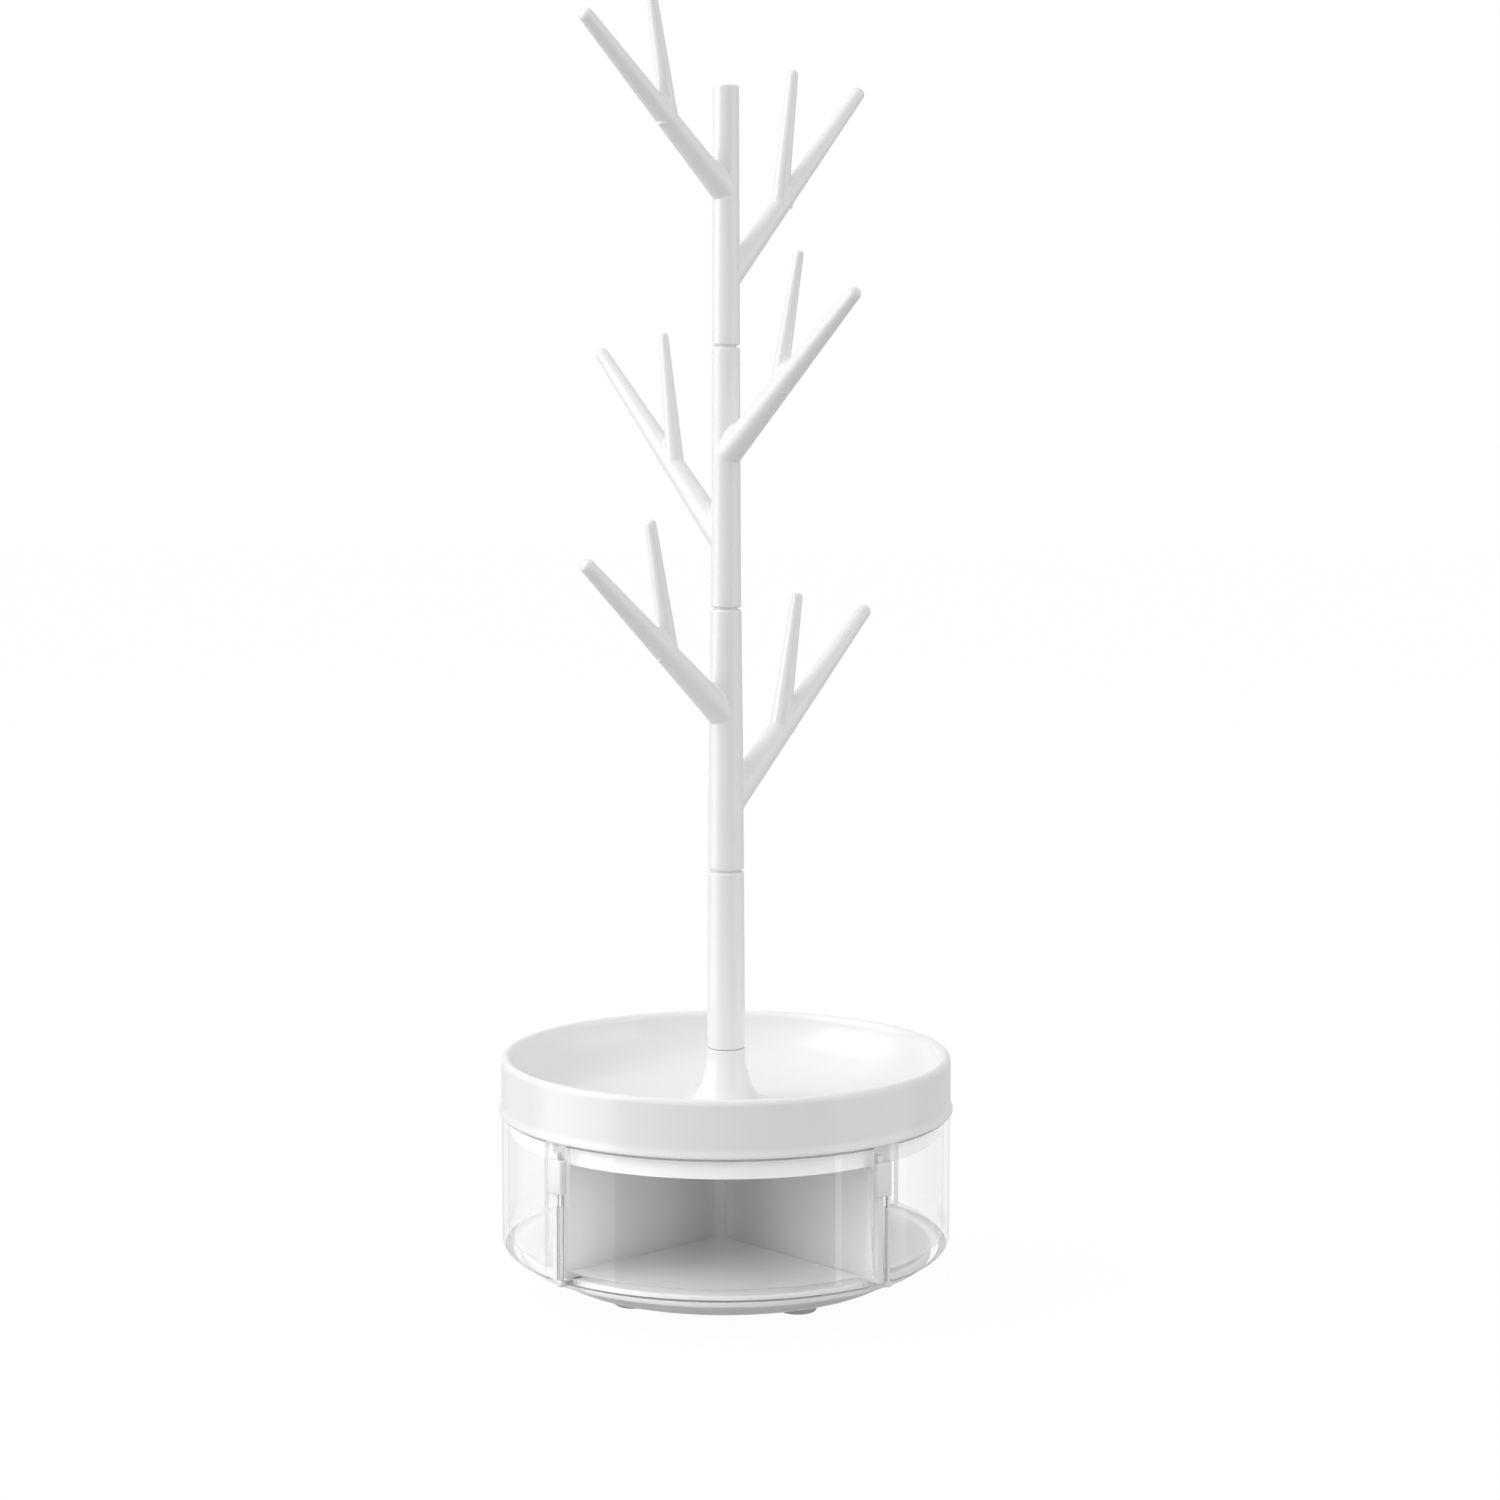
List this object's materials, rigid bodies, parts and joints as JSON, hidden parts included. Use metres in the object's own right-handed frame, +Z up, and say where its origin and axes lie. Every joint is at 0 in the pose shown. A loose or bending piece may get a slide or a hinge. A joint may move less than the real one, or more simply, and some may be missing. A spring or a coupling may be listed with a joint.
{
  "type": "jewelry rack",
  "caption": "White plastic tree for hanging jewelry, on a round dish over a turning drum of clear swing-out drawers.",
  "frame": {"origin": "on the table under the axis that the drum turns about", "axes": "+Z up along the trunk; -Y out through the first drawer; the fins lie on the 45 degree planes"},
  "size_m": [0.135, 0.135, 0.3831],
  "materials": {
    "white_plastic": "satin white",
    "clear_plastic": "clear moulded plastic, polished",
    "pad_rubber": "matte",
    "steel": "bright"
  },
  "bodies": {
    "base": {"turntable_base": "white_plastic", "foot_pads": "pad_rubber", "bearing_balls": "steel"},
    "drum": {"turntable_deck": "white_plastic", "pivot_washer": "steel", "pivot_screw": "steel", "partition_cross": "white_plastic", "dish_tray": "white_plastic", "hinge_pin_1": "steel", "hinge_pin_2": "steel", "hinge_pin_3": "steel", "hinge_pin_4": "steel", "trunk_post": "white_plastic", "tier_lower": "white_plastic", "tier_middle": "white_plastic", "tier_top": "white_plastic"},
    "drawer_1": {"drawer_1": "clear_plastic"},
    "drawer_2": {"drawer_2": "clear_plastic"},
    "drawer_3": {"drawer_3": "clear_plastic"},
    "drawer_4": {"drawer_4": "clear_plastic"}
  },
  "joints": [
    {"name": "drum_spin", "type": "hinge", "parent": "base", "child": "drum", "pos_m": [0, 0, 0.01], "axis": [0, 0, 1], "continuous": true},
    {"name": "drawer_1_swing", "type": "hinge", "parent": "drum", "child": "drawer_1", "pos_m": [-0.04412, -0.04808, 0.025], "axis": [0, 0, -1], "range_deg": [0, 90]},
    {"name": "drawer_2_swing", "type": "hinge", "parent": "drum", "child": "drawer_2", "pos_m": [0.04808, -0.04412, 0.025], "axis": [0, 0, -1], "range_deg": [0, 90]},
    {"name": "drawer_3_swing", "type": "hinge", "parent": "drum", "child": "drawer_3", "pos_m": [0.04412, 0.04808, 0.025], "axis": [0, 0, -1], "range_deg": [0, 90]},
    {"name": "drawer_4_swing", "type": "hinge", "parent": "drum", "child": "drawer_4", "pos_m": [-0.04808, 0.04412, 0.025], "axis": [0, 0, -1], "range_deg": [0, 90]}
  ]
}
